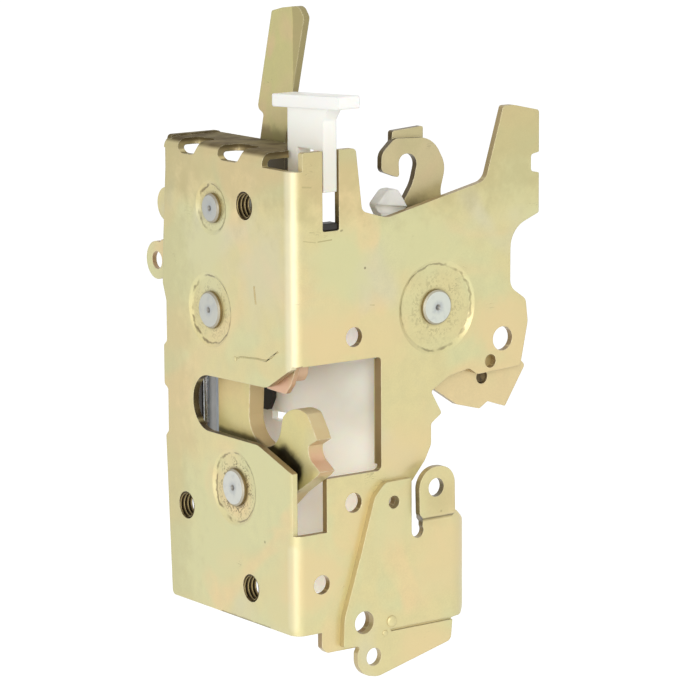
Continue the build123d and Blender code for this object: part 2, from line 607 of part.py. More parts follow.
def make_striker_buffer():
    """Rubber block on the back plate's spine, at the blind end of the mouth."""
    outline = rounded((61.2, 45, 0.8), (64.0, 45, 1), (64.0, 77, 1), (61.2, 77, 0.8))
    return sheet_x(outline, latch_back_x + 0.3, back_plate_x)


def make_guard_pad():
    """Thin rubber pad on the guard's wall, beside the guard's sight slot."""
    outline = rounded((33.2, 69, 1), (33.2, 61.3, 0.5), (35.6, 57.4, 0.5), (46.0, 57.4, 1), (46.0, 69, 1))
    start = back_plate_x + back_plate_sheet
    return sheet_x(outline, start - 1.5, start)


def make_coil_x(at, radius, wire, start, turns, leg):
    """Torsion spring wound round an x axis; its leg leaves from the coil's low side."""
    pitch = wire * 1.08
    path = Helix(pitch, pitch * turns, radius)
    end_plane = Plane(origin=path @ 0, z_dir=path % 0)
    coil = sweep(end_plane * Circle(wire / 2), path=path, is_frenet=True)
    coil = Plane(origin=(start, *at), x_dir=(0, 1, 0), z_dir=(1, 0, 0)) * coil
    low = at[1] - radius
    points = [(start, at[0], low)] + [(start, y, z) for y, z in leg(low)]
    line = FilletPolyline(*points, radius=2, close=False) if len(points) > 2 else Line(*points)
    arm = sweep(Plane(origin=line @ 0, z_dir=line % 0) * Circle(wire / 2), path=line)
    return coil + arm


def make_washer(at, inner, outer, start, end, along):
    rod = rod_x if along == "x" else rod_y
    return rod(at, outer, start, end) - rod(at, inner + running_gap, start - 1, end + 1)


seat_x = sheet + dish_depth
bush_end = back_plate_x - 0.1
rivet_end = back_plate_x + back_plate_sheet
lock_hub_end = lock_lever_x + lock_lever_sheet + 0.2
spring_wire = 1.6
spring_radius = pin_radius + running_gap + bush_wall + 0.4 + spring_wire / 2
spring_start = latch_back_x + 0.3 + spring_wire / 2
lever_spring_wire = 1.6
lever_spring_radius = pin_radius + 0.5 + lever_spring_wire / 2
lever_spring_start = hook_y + side_lever_sheet + 0.4 + lever_spring_wire / 2

lever_coil_path = Helix(lever_spring_wire * 1.08, lever_spring_wire * 1.08 * 2, lever_spring_radius)
lever_coil = sweep(Plane(origin=lever_coil_path @ 0, z_dir=lever_coil_path % 0) * Circle(lever_spring_wire / 2),
                   path=lever_coil_path, is_frenet=True)

nodes = {
    "frame": make_frame(),
    "back_plate": make_back_plate(),
    "lower_bracket": make_bracket(),
    "fork_pin": make_pin(fork_at, pin_radius, pin_neck_radius, back_plate_x, pin_rivet_radius, rivet_end, pin_head_radius),
    "pawl_pin": make_pin(pawl_at, pin_radius, pin_neck_radius, back_plate_x, pin_rivet_radius, rivet_end, pin_head_radius),
    "lock_pin": make_pin(lock_at, lock_pin_radius, lock_neck_radius, lock_hub_end + 0.2, 0, lock_hub_end + 0.2, 7.6),
    "lever_pivot": make_lever_pivot(),
    "fork_washer": make_washer(fork_at, pin_radius, 11, seat_x + 0.05, latch_x - 0.1, "x"),
    "lever_washer": make_washer(lever_at, pin_radius, 11, release_y + side_lever_sheet + 0.2, hook_y - 0.2, "y"),
    "inner_cover": make_inner_cover(),
    "striker_buffer": make_striker_buffer(),
    "guard_pad": make_guard_pad(),
    "latch_fork": make_fork(),
    "fork_bush": make_bush(fork_at, pin_radius, bush_wall, latch_x, bush_end),
    "pawl": make_pawl(),
    "pawl_lever": make_pawl_lever(),
    "pawl_bush": make_bush(pawl_at, pin_radius, bush_wall, cam_x, bush_end),
    "lock_cam": make_lock_cam(),
    "lock_lever": make_lock_lever(),
    "lock_hub": make_bush(lock_at, lock_pin_radius, hub_wall, cam_x, lock_hub_end),
    "lock_slider": make_slider(),
    "release_lever": make_release_lever(),
    "hook_lever": make_hook_lever(),
    "rod_clip": make_rod_clip(),
    "fork_spring": make_coil_x(fork_at, spring_radius, spring_wire, spring_start, 1.75,
                               lambda low: [(fork_at[0] + 17, low)]),
    "pawl_spring": make_coil_x(pawl_at, spring_radius, spring_wire, spring_start, 1.75,
                               lambda low: [(60.2, low), (60.2, 47.0)]),
    "lever_spring": Plane(origin=(lever_at[0], lever_spring_start, lever_at[1]), x_dir=(1, 0, 0), z_dir=(0, 1, 0))
    * lever_coil,
}

datum = Location((0, -screw_upper[0], -screw_upper[1]))
os.makedirs("parts", exist_ok=True)
for name, solid in nodes.items():
    export_step(datum * solid, os.path.join("parts", name + ".step"))
    print(name, round(solid.volume, 1))
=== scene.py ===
from math import cos, pi, radians, sin

import bmesh
import bpy
from mathutils import Matrix, Vector


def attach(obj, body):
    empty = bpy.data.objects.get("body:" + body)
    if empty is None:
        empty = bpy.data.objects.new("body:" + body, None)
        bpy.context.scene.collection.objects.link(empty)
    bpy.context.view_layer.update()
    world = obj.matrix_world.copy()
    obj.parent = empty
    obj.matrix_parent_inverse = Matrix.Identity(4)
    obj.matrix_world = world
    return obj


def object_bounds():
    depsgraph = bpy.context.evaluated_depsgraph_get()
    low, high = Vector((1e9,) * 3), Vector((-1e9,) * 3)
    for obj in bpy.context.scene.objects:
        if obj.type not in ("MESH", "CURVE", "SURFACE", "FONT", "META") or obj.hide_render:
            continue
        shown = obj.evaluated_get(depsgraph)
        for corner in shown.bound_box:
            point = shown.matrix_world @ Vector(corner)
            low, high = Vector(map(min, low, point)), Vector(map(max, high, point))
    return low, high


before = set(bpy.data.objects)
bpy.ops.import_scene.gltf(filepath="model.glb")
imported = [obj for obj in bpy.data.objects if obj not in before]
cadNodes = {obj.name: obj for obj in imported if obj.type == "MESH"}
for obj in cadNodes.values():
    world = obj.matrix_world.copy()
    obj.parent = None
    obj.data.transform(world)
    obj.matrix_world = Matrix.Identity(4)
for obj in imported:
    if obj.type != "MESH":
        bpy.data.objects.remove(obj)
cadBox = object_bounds()
mm = 0.001
# the part's zero, in mm from the frame's lower corner: the axis of the upper threaded hole
holeY, holeZ = 23.8, 119.1

print("stage: frame loaded,", len(cadNodes), "pieces")


def place(x, y, z):
    # millimetres from the frame's lower corner to metres in the part's frame
    return Vector((x, y - holeY, z - holeZ)) * mm


def placeOn(axis, value):
    # one coordinate, from millimetres to the part's metres
    return place(value, value, value)[axis]


def tint(red, green, blue):
    # an 8 bit screen colour as the linear colour that a shader takes
    def linear(value):
        value /= 255
        return value / 12.92 if value <= 0.04045 else ((value + 0.055) / 1.055) ** 2.4
    return (linear(red), linear(green), linear(blue), 1)


# Nodes

def setInput(tree, socket, value):
    # a socket as the value is linked, and anything else is set
    if isinstance(value, bpy.types.NodeSocket):
        tree.links.new(value, socket)
    else:
        socket.default_value = value


def addNode(tree, kind, inputs=None, **settings):
    made = tree.nodes.new(kind)
    for key, value in settings.items():
        setattr(made, key, value)
    for key, value in (inputs or {}).items():
        setInput(tree, made.inputs[key], value)
    return made


def calc(tree, operation, first, second=0.0, third=None, clamp=False):
    inputs = {0: first, 1: second}
    if third is not None:
        inputs[2] = third
    return addNode(tree, "ShaderNodeMath", inputs, operation=operation, use_clamp=clamp).outputs[0]


def product(tree, *factors):
    result = factors[0]
    for factor in factors[1:]:
        result = calc(tree, "MULTIPLY", result, factor)
    return result


def vectorCalc(tree, operation, first, second=None):
    inputs = {0: first}
    if second is not None:
        inputs[1] = second
    outputs = addNode(tree, "ShaderNodeVectorMath", inputs, operation=operation).outputs
    return outputs["Value"] if operation in ("DOT_PRODUCT", "DISTANCE", "LENGTH") else outputs[0]


def scaled(tree, vector, factor):
    return addNode(tree, "ShaderNodeVectorMath", {0: vector, "Scale": factor}, operation="SCALE").outputs[0]


def splitAxes(tree, vector):
    return addNode(tree, "ShaderNodeSeparateXYZ", {0: vector}).outputs


def remap(tree, value, low, high, outLow=0.0, outHigh=1.0, smooth=True):
    made = addNode(tree, "ShaderNodeMapRange",
                   {"Value": value, "From Min": low, "From Max": high, "To Min": outLow, "To Max": outHigh},
                   interpolation_type="SMOOTHSTEP" if smooth else "LINEAR")
    return made.outputs[0]


def blendColor(tree, factor, first, second):
    return addNode(tree, "ShaderNodeMix", {0: factor, 6: first, 7: second}, data_type="RGBA").outputs[2]


def noise(tree, position, scale, detail=2.0, roughness=0.5, distortion=0.0):
    # the scale is in waves per metre
    return addNode(tree, "ShaderNodeTexNoise", {"Vector": position, "Scale": scale, "Detail": detail,
                                                "Roughness": roughness, "Distortion": distortion}).outputs[0]


# waves per metre, then the noise's detail, roughness and distortion
patterns = {
    "filmCloud": (210, 3, 0.55, 0.3), "filmGrain": (2300, 2, 0.6), "edgeStreak": (85, 2, 0.5),
    "lineEdge": (260, 3, 0.6), "cornerRubAndLight": (420, 3, 0.6), "patchRim": (70, 3, 0.55, 0.4),
    "ringWobble": (330, 2, 0.6), "ringGaps": (240, 2, 0.5), "fleck": (1500, 2, 0.6), "fleckClouds": (300, 2, 0.5),
    "scratchRun": (1.0, 2, 0.5, 0.2), "scratchPlaces": (95, 2, 0.5), "shadeEdge": (160, 3, 0.6),
    "flangeShadeCloud": (130, 3, 0.6), "pinSpokes": (5.0, 3, 0.6), "pinCloud": (420, 3, 0.5), "threadCloud": (900, 3, 0.6),
}
noiseEnds = (0.3, 0.7)


def pattern(tree, position, name):
    return noise(tree, position, *patterns[name])


def spread(tree, value, low, high, smooth=True):
    # a noise lies mostly between its two ends, which become low and high
    return remap(tree, value, *noiseEnds, low, high, smooth)


def shift(tree, position, offset):
    return vectorCalc(tree, "ADD", position, offset)


def newGroup(name, inputs, outputs):
    group = bpy.data.node_groups.new(name, "ShaderNodeTree")
    kinds = {"value": "NodeSocketFloat", "color": "NodeSocketColor", "vector": "NodeSocketVector"}
    for label, kind in inputs.items():
        group.interface.new_socket(label, in_out="INPUT", socket_type=kinds[kind])
    for label, kind in outputs.items():
        group.interface.new_socket(label, in_out="OUTPUT", socket_type=kinds[kind])
    start = group.nodes.new("NodeGroupInput")
    end = group.nodes.new("NodeGroupOutput")
    return group, start.outputs, end.inputs


def useGroup(tree, group, inputs):
    return addNode(tree, "ShaderNodeGroup", inputs, node_tree=group).outputs


# each tint that lies over the green: where its noise is taken, its distortion, its two ends and its share
filmTints = {"Straw": ((0, 0, 0), 0.7, (0.38, 0.56), 1), "Warm": ((0.37, 0.11, 0.23), 0.9, (0.50, 0.68), 1),
             "Grey": ((0.71, 0.53, 0.05), 0.4, (0.60, 0.74), 0.7)}
filmGrainShare = 0.4


def makeFilmGroup():
    # cloudy passivation: straw, green, warm and grey areas that run into each other
    group, given, result = newGroup(
        "passivationFilm",
        {"Position": "vector", "Patch": "value", "Green": "color", "Straw": "color", "Warm": "color",
         "Grey": "color", "Gloss": "value"},
        {"Color": "color", "Roughness": "value", "Height": "value"})
    position = given["Position"]
    color = given["Green"]
    for key, (offset, distortion, ends, share) in filmTints.items():
        area = noise(group, shift(group, position, offset), given["Patch"], distortion=distortion)
        color = blendColor(group, remap(group, area, *ends, 0, share), color, given[key])
    cloud = pattern(group, shift(group, position, (0.2, 0.9, 0.4)), "filmCloud")
    grain = pattern(group, position, "filmGrain")
    color = scaled(group, color, product(group, remap(group, cloud, 0.25, 0.75, 0.965, 1.03),
                                         spread(group, grain, 0.975, 1.02)))
    rough = calc(group, "ADD", given["Gloss"], spread(group, cloud, -0.05, 0.06))
    height = calc(group, "MULTIPLY_ADD", grain, filmGrainShare, cloud)
    for key, value in (("Color", color), ("Roughness", rough), ("Height", height)):
        group.links.new(value, result[key])
    return group


def edgeStreak(tree, position):
    # the slow change of tint along a sheared edge
    return remap(tree, pattern(tree, position, "edgeStreak"), 0.35, 0.65)


# how squarely a face looks along a direction: nothing is tinted at the first value, all is at the second
facingEnds = {"cutEdge": (0.75, 0.35), "rubbedAndLitCorner": (0.985, 0.80), "foldedEdge": (0.62, 0.82),
              "pinEnd": (0.55, 0.9), "bandSide": (0.4, 0.8)}


def makeEdgeGroup():
    # sheared faces of a sheet: their normal lies across the sheet's own
    group, given, result = newGroup("shearedEdge", {"Normal": "vector", "Sheet": "vector", "Position": "vector"},
                                    {"Mask": "value", "Streak": "value"})
    along = vectorCalc(group, "DOT_PRODUCT", given["Normal"], given["Sheet"])
    group.links.new(remap(group, calc(group, "ABSOLUTE", along), *facingEnds["cutEdge"]), result["Mask"])
    group.links.new(edgeStreak(group, given["Position"]), result["Streak"])
    return group


def makeLineGroup():
    # everything near one straight line: a scratch, a painted shadow or highlight along an edge or, with both ends
    # together, a speck
    group, given, result = newGroup(
        "alongLine", {"Position": "vector", "Start": "vector", "End": "vector", "Core": "value", "Reach": "value",
                      "Uneven": "value"}, {"Mask": "value"})
    along = vectorCalc(group, "SUBTRACT", given["End"], given["Start"])
    away = vectorCalc(group, "SUBTRACT", given["Position"], given["Start"])
    smallest = 1e-9
    length = calc(group, "MAXIMUM", vectorCalc(group, "DOT_PRODUCT", along, along), smallest)
    share = calc(group, "DIVIDE", vectorCalc(group, "DOT_PRODUCT", along, away), length, clamp=True)
    gap = vectorCalc(group, "DISTANCE", away, scaled(group, along, share))
    rough = spread(group, pattern(group, given["Position"], "lineEdge"), -0.5, 0.5, False)
    gap = calc(group, "ADD", gap, product(group, rough, given["Uneven"]))
    group.links.new(remap(group, gap, given["Reach"], given["Core"]), result["Mask"])
    return group


def makeRubAndHighlightGroup():
    # rubbed corners, partly a painted highlight on the edges: where the rounded normal leaves the flat one
    group, given, result = newGroup("cornerRubAndHighlight", {"Rounded": "vector", "Flat": "vector", "Position": "vector"},
                                    {"Mask": "value"})
    same = vectorCalc(group, "DOT_PRODUCT", given["Rounded"], given["Flat"])
    rub = remap(group, pattern(group, given["Position"], "cornerRubAndLight"), 0.35, 0.62, 0.25, 1.0)
    group.links.new(product(group, remap(group, same, *facingEnds["rubbedAndLitCorner"]), rub), result["Mask"])
    return group


# in radii of the patch: where it ends, where it is full, and how far its rim strays
spotPlan = {"edge": 1.15, "core": 0.25, "stray": 0.45}


def makeSpotGroup():
    # one soft patch of another tint, with an uneven rim
    group, given, result = newGroup("softPatch", {"Position": "vector", "Centre": "vector", "Radius": "value"},
                                    {"Mask": "value"})
    away = vectorCalc(group, "DISTANCE", given["Position"], given["Centre"])
    stray = spotPlan["stray"]
    uneven = remap(group, pattern(group, given["Position"], "patchRim"), 0.25, 0.75, -stray, stray, False)
    ratio = calc(group, "ADD", calc(group, "DIVIDE", away, given["Radius"]), uneven)
    group.links.new(remap(group, ratio, spotPlan["edge"], spotPlan["core"]), result["Mask"])
    return group


# half widths of the foot line and of the rim's chatter, and how far the line strays, in mm
ringPlan = {"wobble": 0.35, "lineEdge": 0.45, "lineCore": 0.08, "rimEdge": 1.1, "rimCore": 0.1}


def makeRingGroup():
    # tool marks round a staked pin: a broken line at the dish's foot and chatter nearer the pin
    group, given, result = newGroup(
        "stakingMarks", {"Position": "vector", "Centre": "vector", "Across": "vector", "Pin": "value",
                         "Foot": "value", "Line": "value", "Chatter": "value"}, {"Mask": "value"})
    plan = {key: value * mm for key, value in ringPlan.items()}
    position, pin, foot = given["Position"], given["Pin"], given["Foot"]
    flat = vectorCalc(group, "MULTIPLY", vectorCalc(group, "SUBTRACT", position, given["Centre"]), given["Across"])
    away = vectorCalc(group, "LENGTH", flat)
    wobble = spread(group, pattern(group, position, "ringWobble"), -plan["wobble"], plan["wobble"], False)
    gap = calc(group, "ABSOLUTE", calc(group, "SUBTRACT", calc(group, "ADD", away, wobble), foot))
    broken = remap(group, pattern(group, position, "ringGaps"), 0.36, 0.56)
    line = product(group, remap(group, gap, plan["lineEdge"], plan["lineCore"]), broken, given["Line"])
    fleck = remap(group, pattern(group, position, "fleck"), 0.5, 0.58)
    dense = remap(group, pattern(group, position, "fleckClouds"), 0.38, 0.54)
    inside = remap(group, away, foot, pin, 0.15, 1.0)
    chatter = product(group, fleck, dense, inside, calc(group, "LESS_THAN", away, foot))
    rim = remap(group, calc(group, "SUBTRACT", away, pin), plan["rimEdge"], plan["rimCore"], 0, 0.75)
    chatter = product(group, calc(group, "MAXIMUM", chatter, rim), given["Chatter"])
    group.links.new(calc(group, "MAXIMUM", line, chatter, clamp=True), result["Mask"])
    return group


# specks: cells per metre, the share that stays empty, and where a speck ends and is full in cells
# scratches: the stretch that makes them run, and where one ends and is full in the noise's values
handling = {"cells": 95.0, "empty": 0.86, "speck": (0.06, 0.02), "run": (150, 150, 900), "scratch": (0.012, 0.003),
            "share": 0.6}


def makeSpeckGroup():
    # sparse dark specks and short scratches of handling
    group, given, result = newGroup("handlingMarks", {"Position": "vector", "Amount": "value"}, {"Mask": "value"})
    position = given["Position"]
    cell = addNode(group, "ShaderNodeTexVoronoi",
                   {"Vector": position, "Scale": handling["cells"], "Randomness": 1.0}).outputs
    cellTone = addNode(group, "ShaderNodeSeparateColor", {0: cell["Color"]}).outputs[0]
    dot = product(group, remap(group, cell["Distance"], *handling["speck"], 0, handling["share"]),
                  calc(group, "GREATER_THAN", cellTone, handling["empty"]))
    run = pattern(group, vectorCalc(group, "MULTIPLY", position, handling["run"]), "scratchRun")
    line = remap(group, calc(group, "ABSOLUTE", calc(group, "SUBTRACT", run, 0.5)), *handling["scratch"])
    where = remap(group, pattern(group, shift(group, position, (0.4, 0.2, 0.6)), "scratchPlaces"), 0.66, 0.76)
    mask = calc(group, "MAXIMUM", dot, product(group, line, where, handling["share"]))
    group.links.new(calc(group, "MULTIPLY", mask, given["Amount"], clamp=True), result["Mask"])
    return group


filmGroup = makeFilmGroup()
edgeGroup = makeEdgeGroup()
rubAndHighlightGroup = makeRubAndHighlightGroup()
spotGroup = makeSpotGroup()
ringGroup = makeRingGroup()
speckGroup = makeSpeckGroup()
lineGroup = makeLineGroup()


# Materials

bumpDepth = 0.1 * mm


def startMaterial(name):
    material = bpy.data.materials.new(name)
    material.use_nodes = True
    tree = material.node_tree
    tree.nodes.clear()
    coords = addNode(tree, "ShaderNodeTexCoord").outputs
    return material, tree, coords["Object"], coords["Normal"]


def roundedNormal(tree, radius):
    return addNode(tree, "ShaderNodeBevel", {"Radius": radius}, samples=4).outputs[0]


def endMaterial(tree, settings, color, roughness, height, strength, rounded=None):
    bump = {"Height": height, "Strength": strength, "Distance": bumpDepth}
    if rounded is not None:
        bump["Normal"] = rounded
    normal = addNode(tree, "ShaderNodeBump", bump).outputs[0]
    shader = addNode(tree, "ShaderNodeBsdfPrincipled",
                     {**settings, "Base Color": color, "Roughness": roughness, "Normal": normal})
    addNode(tree, "ShaderNodeOutputMaterial", {0: shader.outputs[0]})
    return shader


def paint(tree, color, mask, share, shade):
    return blendColor(tree, product(tree, mask, share), color, shade)


def paintPatches(tree, color, position, look, patches):
    for centre, radius, shade, share in patches:
        mask = useGroup(tree, spotGroup, {"Position": position, "Centre": place(*centre), "Radius": radius * mm})
        color = paint(tree, color, mask["Mask"], share, look[shade])
    return color


def paintShades(tree, color, position, look, shades):
    axes = splitAxes(tree, position)
    for axis, start, end, shade, share in shades:
        blur = spread(tree, pattern(tree, position, "shadeEdge"), -0.25, 0.25, False)
        level = remap(tree, axes[axis], placeOn(axis, start), placeOn(axis, end), 0, 1, False)
        mask = remap(tree, calc(tree, "ADD", level, blur), 0.2, 0.8)
        color = paint(tree, color, mask, share, look[shade])
    return color


def paintLines(tree, color, position, look, lines):
    for start, end, core, reach, shade, share, uneven in lines:
        mask = useGroup(tree, lineGroup, {"Position": position, "Start": place(*start), "End": place(*end),
                                          "Core": core * mm, "Reach": reach * mm, "Uneven": uneven * mm})
        color = paint(tree, color, mask["Mask"], share, look[shade])
    return color


# the folded frame in mm: where its bend ends in the side wall and in the face, where the flange starts
foldPlan = {"bendInSide": 4.5, "faceDepth": 3.2, "sideDepth": 3.0, "bendInFace": 4.0, "faceTop": 131.0,
            "flangeCut": 131.3, "flangeInside": 3.2, "shadeFrom": 133.1, "shadeTo": 134.4}


def foldedEdges(tree, position, normal):
    # sheared faces of the folded frame: shut face across X, side wall across Y, flange on top
    spots = splitAxes(tree, position)
    facing = [remap(tree, calc(tree, "ABSOLUTE", part), *facingEnds["foldedEdge"])
              for part in splitAxes(tree, normal)]

    def test(operation, axis, key):
        return calc(tree, operation, spots[axis], placeOn(axis, foldPlan[key]))

    belowTop = test("LESS_THAN", 2, "faceTop")
    pastFold = test("GREATER_THAN", 0, "bendInSide")
    inSide = test("LESS_THAN", 1, "sideDepth")
    inFace = test("LESS_THAN", 0, "faceDepth")
    offFold = test("GREATER_THAN", 1, "bendInFace")
    onFlange = product(tree, test("GREATER_THAN", 2, "flangeCut"), offFold)
    masks = [product(tree, facing[2], calc(tree, "MAXIMUM", belowTop, inSide)),
             product(tree, facing[0], pastFold, inSide),
             product(tree, facing[1], inFace, offFold),
             product(tree, calc(tree, "MAXIMUM", facing[1], product(tree, facing[0], pastFold)), onFlange)]
    mask = masks[0]
    for other in masks[1:]:
        mask = calc(tree, "MAXIMUM", mask, other)
    return mask, edgeStreak(tree, position)


def flangeShadeMask(tree, position):
    # the flange's top from the bend inwards, where painted shade darkens it and it is duller
    spots = splitAxes(tree, position)
    inward = calc(tree, "GREATER_THAN", spots[1], placeOn(1, foldPlan["flangeInside"]))
    return product(tree, remap(tree, spots[2], *(placeOn(2, foldPlan[key]) for key in ("shadeFrom", "shadeTo"))), inward)


zincLook = {
    "metallic": 0.4, "gloss": 0.35, "patch": 32.0, "rounding": 0.35, "coat": 0.3, "coatRough": 0.25, "bump": 0.12,
    "markShare": 0.9, "markDepth": 1.5, "edgeRough": 0.12, "dullRough": 0.45,
    "green": tint(214, 210, 157), "straw": tint(219, 207, 151), "warm": tint(228, 206, 152),
    "grey": tint(213, 207, 174), "edge": tint(152, 129, 87), "edgePink": tint(186, 158, 116),
    "wearAndHighlight": tint(247, 240, 208), "mark": tint(84, 66, 36), "pink": tint(224, 180, 146), "olive": tint(170, 158, 106),
    "shadeAndTarnish": tint(86, 71, 40), "paintedShadow": tint(30, 22, 12), "pale": tint(214, 202, 154), "dark": tint(62, 50, 28),
}


def zincMaterial(name, sheet=(1, 0, 0), seed=(0, 0, 0), changes=None, patches=(), edgeShare=0.35, edgePatches=(),
                 shades=(), rubAndHighlightShare=0.55, lines=(), specks=1.0, rings=(), folded=False):
    # patches: centre, radius, shade, share. shades: axis, start, end, shade, share
    # lines: start, end, half widths of the solid and the faded part, shade, share, unevenness. All in mm
    look = {**zincLook, **(changes or {})}
    material, tree, position, normal = startMaterial(name)
    moved = shift(tree, position, seed)
    film = useGroup(tree, filmGroup, {"Position": moved, **{key.title(): look[key] for key in (
        "patch", "green", "straw", "warm", "grey", "gloss")}})
    color = paintPatches(tree, film["Color"], position, look, patches)
    if folded:
        edge, streak = foldedEdges(tree, position, normal)
    else:
        found = useGroup(tree, edgeGroup, {"Normal": normal, "Sheet": sheet, "Position": moved})
        edge, streak = found["Mask"], found["Streak"]
    cut = paint(tree, look["edge"], streak, edgeShare, look["edgePink"])
    cut = paintPatches(tree, cut, position, look, edgePatches)
    color = blendColor(tree, edge, color, cut)
    color = paintShades(tree, color, position, look, shades)
    # the flange's top is painted darker as shade, with less coat and more roughness
    if folded:
        flangeShade = flangeShadeMask(tree, position)
        cloud = spread(tree, pattern(tree, position, "flangeShadeCloud"), 0.75, 1.0)
        color = paint(tree, color, flangeShade, cloud, look["shadeAndTarnish"])
    rounded = roundedNormal(tree, look["rounding"] * mm)
    flat = addNode(tree, "ShaderNodeNewGeometry").outputs["Normal"]
    rubAndHighlight = useGroup(tree, rubAndHighlightGroup, {"Rounded": rounded, "Flat": flat, "Position": moved})
    color = paint(tree, color, rubAndHighlight["Mask"], rubAndHighlightShare, look["wearAndHighlight"])
    color = paintLines(tree, color, position, look, lines)
    marks = useGroup(tree, speckGroup, {"Position": moved, "Amount": specks})["Mask"]
    for ring in rings:
        marks = calc(tree, "MAXIMUM", marks, useGroup(tree, ringGroup, {"Position": position, **ring})["Mask"])
    color = paint(tree, color, marks, look["markShare"], look["mark"])
    rough = calc(tree, "ADD", film["Roughness"], product(tree, edge, look["edgeRough"]))
    height = calc(tree, "SUBTRACT", film["Height"], product(tree, marks, look["markDepth"]))
    settings = {"Metallic": look["metallic"], "Coat Weight": look["coat"], "Coat Roughness": look["coatRough"]}
    if folded:
        rough = calc(tree, "ADD", rough, product(tree, flangeShade, look["dullRough"]))
        settings["Coat Weight"] = remap(tree, flangeShade, 0, 1, look["coat"], 0.0)
    endMaterial(tree, settings, color, rough, height, look["bump"], rounded)
    return material


# the radii where the grey centre and the dimple start and are full, and the rounding, are in mm
pinLook = {"grey": tint(168, 173, 176), "side": tint(140, 122, 82), "deep": tint(88, 92, 98), "metallic": 0.55,
           "rough": (0.34, 0.5), "bump": 0.15, "rounding": 0.3, "centre": (2.6, 0.5), "dimple": (1.1, 0.5)}


def pinMaterial(name, centre, across, end):
    # staked pin: bright flattened end with a grey centre, duller side
    material, tree, position, normal = startMaterial(name)
    axis = tuple(1 - part for part in across)
    along = calc(tree, "ABSOLUTE", vectorCalc(tree, "DOT_PRODUCT", normal, axis))
    flatEnd = remap(tree, along, *facingEnds["pinEnd"])
    flat = vectorCalc(tree, "MULTIPLY", vectorCalc(tree, "SUBTRACT", position, centre), across)
    away = vectorCalc(tree, "LENGTH", flat)
    spokes = pattern(tree, vectorCalc(tree, "NORMALIZE", flat), "pinSpokes")
    cloud = pattern(tree, position, "pinCloud")
    near = remap(tree, away, *(value * mm for value in pinLook["centre"]))
    color = paint(tree, end, near, remap(tree, spokes, 0.3, 0.65, 0.35, 0.9), pinLook["grey"])
    dimple = remap(tree, away, *(value * mm for value in pinLook["dimple"]), 0, 0.75)
    color = blendColor(tree, dimple, color, pinLook["deep"])
    color = blendColor(tree, remap(tree, cloud, 0.5, 0.72, 0, 0.3), color, pinLook["grey"])
    color = blendColor(tree, flatEnd, pinLook["side"], color)
    rough = spread(tree, cloud, *pinLook["rough"])
    endMaterial(tree, {"Metallic": pinLook["metallic"]}, color, rough, cloud, pinLook["bump"],
                roundedNormal(tree, pinLook["rounding"] * mm))
    return material


def plainMaterial(name, look):
    # moulded or drawn stock: soft tone change, fine grain and rounded corners
    # tone bands: axis, start and end in mm, shade, share, and the axis and sign of the one side that has it
    material, tree, position, normal = startMaterial(name)
    cloud = noise(tree, position, look["cloud"], 3, 0.55, 0.3)
    grain = noise(tree, position, look["grain"], 3, 0.6)
    color = blendColor(tree, spread(tree, cloud, 0, 1), look["dark"], look["light"])
    axes, turned = splitAxes(tree, position), splitAxes(tree, normal)
    for axis, start, end, shade, share, side in look.get("toneBands", ()):
        blur = spread(tree, cloud, -0.15, 0.15, False)
        level = remap(tree, axes[axis], placeOn(axis, start), placeOn(axis, end), 0, 1, False)
        mask = calc(tree, "ADD", level, blur, clamp=True)
        if side is not None:
            facing = product(tree, turned[side[0]], side[1])
            mask = product(tree, mask, remap(tree, facing, *facingEnds["bandSide"]))
        color = paint(tree, color, mask, share, shade)
    cloudRough, grainRough = 0.05, 0.03
    rough = calc(tree, "ADD", spread(tree, cloud, look["rough"] - cloudRough, look["rough"] + cloudRough),
                 spread(tree, grain, -grainRough, grainRough))
    shader = endMaterial(tree, look.get("shader", {}), color, rough, grain, look["bump"],
                         roundedNormal(tree, look.get("rounding", 0.3) * mm))
    if "through" in look:
        addGlow(tree, shader, position, look)
    return material


def addGlow(tree, shader, position, look):
    # painted glow, standing in for light from behind: past one level, and at some bright spots
    axis, start, end, shade = look["through"]
    level = remap(tree, splitAxes(tree, position)[axis], placeOn(axis, start), placeOn(axis, end))
    glow = blendColor(tree, level, (0, 0, 0, 1), shade)
    outer, inner = 1.3 * mm, 0.8 * mm
    for centre, radius, shade in look.get("bright", ()):
        away = vectorCalc(tree, "DISTANCE", position, place(*centre))
        glow = blendColor(tree, remap(tree, away, radius * outer, radius * inner), glow, shade)
    tree.links.new(glow, shader.inputs["Emission Color"])
    shader.inputs["Emission Strength"].default_value = look.get("glow", 0.3)


# Finishes of the CAD pieces

pins = {
    "fork_pin": {"centre": place(0, 30.4, 37.6), "across": (0, 1, 1), "radius": 5.3, "foot": 9.9, "line": 0.8,
                 "chatter": 1.0, "end": tint(210, 211, 203)},
    "pawl_pin": {"centre": place(0, 41.6, 87.3), "across": (0, 1, 1), "radius": 5.3, "foot": 9.7, "line": 0.8,
                 "chatter": 0.4, "end": tint(197, 198, 189)},
    "lock_pin": {"centre": place(0, 40.5, 116.6), "across": (0, 1, 1), "radius": 4.2, "foot": 6.6, "line": 0.8,
                 "chatter": 0.4, "end": tint(184, 185, 179)},
    "lever_pivot": {"centre": place(49.5, 0, 88.5), "across": (1, 0, 1), "radius": 5.0, "foot": 12.4, "line": 0.6,
                    "chatter": 0.3, "end": tint(212, 216, 205)},
}
stakingRings = [{"Centre": pin["centre"], "Across": pin["across"], "Pin": pin["radius"] * mm,
                 "Foot": pin["foot"] * mm, "Line": pin["line"], "Chatter": pin["chatter"]} for pin in pins.values()]

